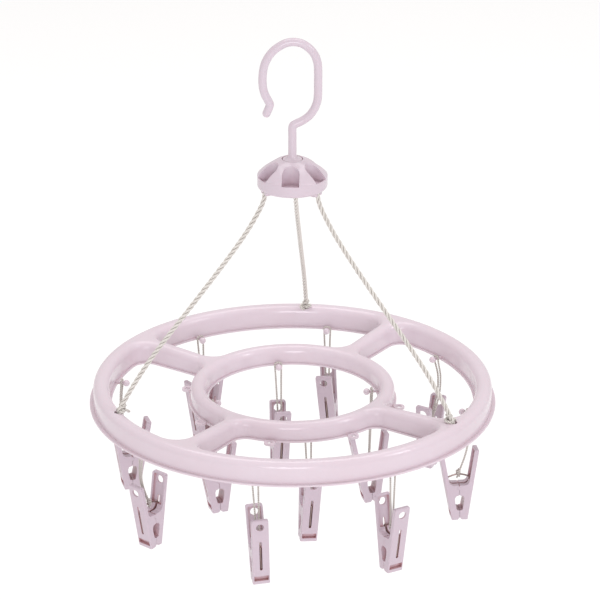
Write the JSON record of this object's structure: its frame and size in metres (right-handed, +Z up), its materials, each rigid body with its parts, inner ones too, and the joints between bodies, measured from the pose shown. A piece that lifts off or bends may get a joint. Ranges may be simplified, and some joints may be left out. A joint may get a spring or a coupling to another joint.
{
  "type": "clip drying hanger",
  "caption": "Round drying hanger: a swivelling hook and domed hub carry a spoked double ring on ropes, with spring clips hung from the rings on short cords.",
  "frame": {"origin": "inner top of the hook's bight, where the hanger rests on a rail", "axes": "+Z up along the swivel axis; the hook lies in the XZ plane, its open side towards -X"},
  "size_m": [0.3, 0.3, 0.3679],
  "materials": {
    "frame_plastic": "semi-gloss moulded polypropylene, pale pink",
    "clip_plastic": "satin moulded polypropylene, slightly deeper pink",
    "rope": "twisted off-white cord",
    "cord": "thin twisted off-white cord",
    "spring_steel": "drawn wire",
    "screw_steel": "zinc plated"
  },
  "bodies": {
    "hook": {"hook": "frame_plastic", "hook_washer": "screw_steel", "hook_screw": "screw_steel"},
    "hanger": {"hub_dome": "frame_plastic", "hub_base": "frame_plastic", "ring_frame": "frame_plastic", "rope_1": "rope", "rope_2": "rope", "rope_3": "rope", "rope_knots": "rope"},
    "clip_01": {"clip_01_arm_a": "clip_plastic", "clip_01_spring": "spring_steel", "clip_01_cord": "cord"},
    "clip_01_lever": {"clip_01_arm_b": "clip_plastic"},
    "clip_02": {"clip_02_arm_a": "clip_plastic", "clip_02_spring": "spring_steel", "clip_02_cord": "cord"},
    "clip_02_lever": {"clip_02_arm_b": "clip_plastic"},
    "clip_03": {"clip_03_arm_a": "clip_plastic", "clip_03_spring": "spring_steel", "clip_03_cord": "cord"},
    "clip_03_lever": {"clip_03_arm_b": "clip_plastic"},
    "clip_04": {"clip_04_arm_a": "clip_plastic", "clip_04_spring": "spring_steel", "clip_04_cord": "cord"},
    "clip_04_lever": {"clip_04_arm_b": "clip_plastic"},
    "clip_05": {"clip_05_arm_a": "clip_plastic", "clip_05_spring": "spring_steel", "clip_05_cord": "cord"},
    "clip_05_lever": {"clip_05_arm_b": "clip_plastic"},
    "clip_06": {"clip_06_arm_a": "clip_plastic", "clip_06_spring": "spring_steel", "clip_06_cord": "cord"},
    "clip_06_lever": {"clip_06_arm_b": "clip_plastic"},
    "clip_07": {"clip_07_arm_a": "clip_plastic", "clip_07_spring": "spring_steel", "clip_07_cord": "cord"},
    "clip_07_lever": {"clip_07_arm_b": "clip_plastic"},
    "clip_08": {"clip_08_arm_a": "clip_plastic", "clip_08_spring": "spring_steel", "clip_08_cord": "cord"},
    "clip_08_lever": {"clip_08_arm_b": "clip_plastic"},
    "clip_09": {"clip_09_arm_a": "clip_plastic", "clip_09_spring": "spring_steel", "clip_09_cord": "cord"},
    "clip_09_lever": {"clip_09_arm_b": "clip_plastic"},
    "clip_10": {"clip_10_arm_a": "clip_plastic", "clip_10_spring": "spring_steel", "clip_10_cord": "cord"},
    "clip_10_lever": {"clip_10_arm_b": "clip_plastic"},
    "clip_11": {"clip_11_arm_a": "clip_plastic", "clip_11_spring": "spring_steel", "clip_11_cord": "cord"},
    "clip_11_lever": {"clip_11_arm_b": "clip_plastic"},
    "clip_12": {"clip_12_arm_a": "clip_plastic", "clip_12_spring": "spring_steel", "clip_12_cord": "cord"},
    "clip_12_lever": {"clip_12_arm_b": "clip_plastic"}
  },
  "joints": [
    {"name": "hook_swivel", "type": "hinge", "parent": "hook", "child": "hanger", "pos_m": [0, 0, -0.0913], "axis": [0, 0, 1], "continuous": true},
    {"name": "clip_01_swing", "type": "hinge", "parent": "hanger", "child": "clip_01", "pos_m": [0.10932, 0.07127, -0.273], "axis": [0.8377, 0.5461, 0], "range_deg": [-35, 35]},
    {"name": "clip_01_open", "type": "hinge", "parent": "clip_01", "child": "clip_01_lever", "pos_m": [0.10478, 0.0709, -0.33669], "axis": [-0.8812, 0.4699, 0.0515], "range_deg": [0, 14], "stiffness_Nm_per_rad": 0.02, "springref_deg": -17.19, "deforming": ["clip_01_spring"]},
    {"name": "clip_02_swing", "type": "hinge", "parent": "hanger", "child": "clip_02", "pos_m": [0.02691, 0.1277, -0.273], "axis": [0.2062, 0.9785, 0], "range_deg": [-35, 35]},
    {"name": "clip_02_open", "type": "hinge", "parent": "clip_02", "child": "clip_02_lever", "pos_m": [0.02793, 0.1274, -0.33637], "axis": [-0.9869, 0.1421, -0.0767], "range_deg": [0, 14], "stiffness_Nm_per_rad": 0.02, "springref_deg": -17.19, "deforming": ["clip_02_spring"]},
    {"name": "clip_03_swing", "type": "hinge", "parent": "hanger", "child": "clip_03", "pos_m": [-0.07127, 0.10932, -0.273], "axis": [-0.5461, 0.8377, 0], "range_deg": [-35, 35]},
    {"name": "clip_03_open", "type": "hinge", "parent": "clip_03", "child": "clip_03_lever", "pos_m": [-0.06888, 0.10939, -0.3353], "axis": [0.5864, -0.81, 0.0018], "range_deg": [0, 14], "stiffness_Nm_per_rad": 0.02, "springref_deg": -17.19, "deforming": ["clip_03_spring"]},
    {"name": "clip_04_swing", "type": "hinge", "parent": "hanger", "child": "clip_04", "pos_m": [-0.1277, 0.02691, -0.273], "axis": [-0.9785, 0.2062, 0], "range_deg": [-35, 35]},
    {"name": "clip_04_open", "type": "hinge", "parent": "clip_04", "child": "clip_04_lever", "pos_m": [-0.12231, 0.02784, -0.3337], "axis": [0.2773, -0.9608, -0.0067], "range_deg": [0, 14], "stiffness_Nm_per_rad": 0.02, "springref_deg": -17.19, "deforming": ["clip_04_spring"]},
    {"name": "clip_05_swing", "type": "hinge", "parent": "hanger", "child": "clip_05", "pos_m": [-0.10932, -0.07127, -0.273], "axis": [-0.8377, -0.5461, 0], "range_deg": [-35, 35]},
    {"name": "clip_05_open", "type": "hinge", "parent": "clip_05", "child": "clip_05_lever", "pos_m": [-0.10418, -0.07068, -0.33398], "axis": [-0.7715, 0.6356, 0.027], "range_deg": [0, 14], "stiffness_Nm_per_rad": 0.02, "springref_deg": -17.19, "deforming": ["clip_05_spring"]},
    {"name": "clip_06_swing", "type": "hinge", "parent": "hanger", "child": "clip_06", "pos_m": [-0.02691, -0.1277, -0.273], "axis": [-0.2062, -0.9785, 0], "range_deg": [-35, 35]},
    {"name": "clip_06_open", "type": "hinge", "parent": "clip_06", "child": "clip_06_lever", "pos_m": [-0.02425, -0.12718, -0.33369], "axis": [-0.9852, -0.165, -0.0467], "range_deg": [0, 14], "stiffness_Nm_per_rad": 0.02, "springref_deg": -17.19, "deforming": ["clip_06_spring"]},
    {"name": "clip_07_swing", "type": "hinge", "parent": "hanger", "child": "clip_07", "pos_m": [0.07127, -0.10932, -0.273], "axis": [0.5461, -0.8377, 0], "range_deg": [-35, 35]},
    {"name": "clip_07_open", "type": "hinge", "parent": "clip_07", "child": "clip_07_lever", "pos_m": [0.07072, -0.10882, -0.3338], "axis": [-0.866, -0.5, 0.0045], "range_deg": [0, 14], "stiffness_Nm_per_rad": 0.02, "springref_deg": -17.19, "deforming": ["clip_07_spring"]},
    {"name": "clip_08_swing", "type": "hinge", "parent": "hanger", "child": "clip_08", "pos_m": [0.1277, -0.02691, -0.273], "axis": [0.9785, -0.2062, 0], "range_deg": [-35, 35]},
    {"name": "clip_08_open", "type": "hinge", "parent": "clip_08", "child": "clip_08_lever", "pos_m": [0.12262, -0.02603, -0.33277], "axis": [-0.1045, 0.9917, -0.0752], "range_deg": [0, 14], "stiffness_Nm_per_rad": 0.02, "springref_deg": -17.19, "deforming": ["clip_08_spring"]},
    {"name": "clip_09_swing", "type": "hinge", "parent": "hanger", "child": "clip_09", "pos_m": [0.05878, 0.011, -0.273], "axis": [0.9829, 0.184, 0], "range_deg": [-35, 35]},
    {"name": "clip_09_open", "type": "hinge", "parent": "clip_09", "child": "clip_09_lever", "pos_m": [0.05771, 0.01055, -0.33639], "axis": [0.2332, -0.9723, 0.0153], "range_deg": [0, 14], "stiffness_Nm_per_rad": 0.02, "springref_deg": -17.19, "deforming": ["clip_09_spring"]},
    {"name": "clip_10_swing", "type": "hinge", "parent": "hanger", "child": "clip_10", "pos_m": [-0.011, 0.05878, -0.273], "axis": [-0.184, 0.9829, 0], "range_deg": [-35, 35]},
    {"name": "clip_10_open", "type": "hinge", "parent": "clip_10", "child": "clip_10_lever", "pos_m": [-0.00989, 0.05804, -0.33637], "axis": [-0.9858, -0.1649, 0.0314], "range_deg": [0, 14], "stiffness_Nm_per_rad": 0.02, "springref_deg": -17.19, "deforming": ["clip_10_spring"]},
    {"name": "clip_11_swing", "type": "hinge", "parent": "hanger", "child": "clip_11", "pos_m": [-0.05878, -0.011, -0.273], "axis": [-0.9829, -0.184, 0], "range_deg": [-35, 35]},
    {"name": "clip_11_open", "type": "hinge", "parent": "clip_11", "child": "clip_11_lever", "pos_m": [-0.05637, -0.01126, -0.33419], "axis": [-0.3171, 0.9477, -0.0348], "range_deg": [0, 14], "stiffness_Nm_per_rad": 0.02, "springref_deg": -17.19, "deforming": ["clip_11_spring"]},
    {"name": "clip_12_swing", "type": "hinge", "parent": "hanger", "child": "clip_12", "pos_m": [0.011, -0.05878, -0.273], "axis": [0.184, -0.9829, 0], "range_deg": [-35, 35]},
    {"name": "clip_12_open", "type": "hinge", "parent": "clip_12", "child": "clip_12_lever", "pos_m": [0.01194, -0.05888, -0.33429], "axis": [-0.9866, -0.1564, 0.0465], "range_deg": [0, 14], "stiffness_Nm_per_rad": 0.02, "springref_deg": -17.19, "deforming": ["clip_12_spring"]}
  ]
}
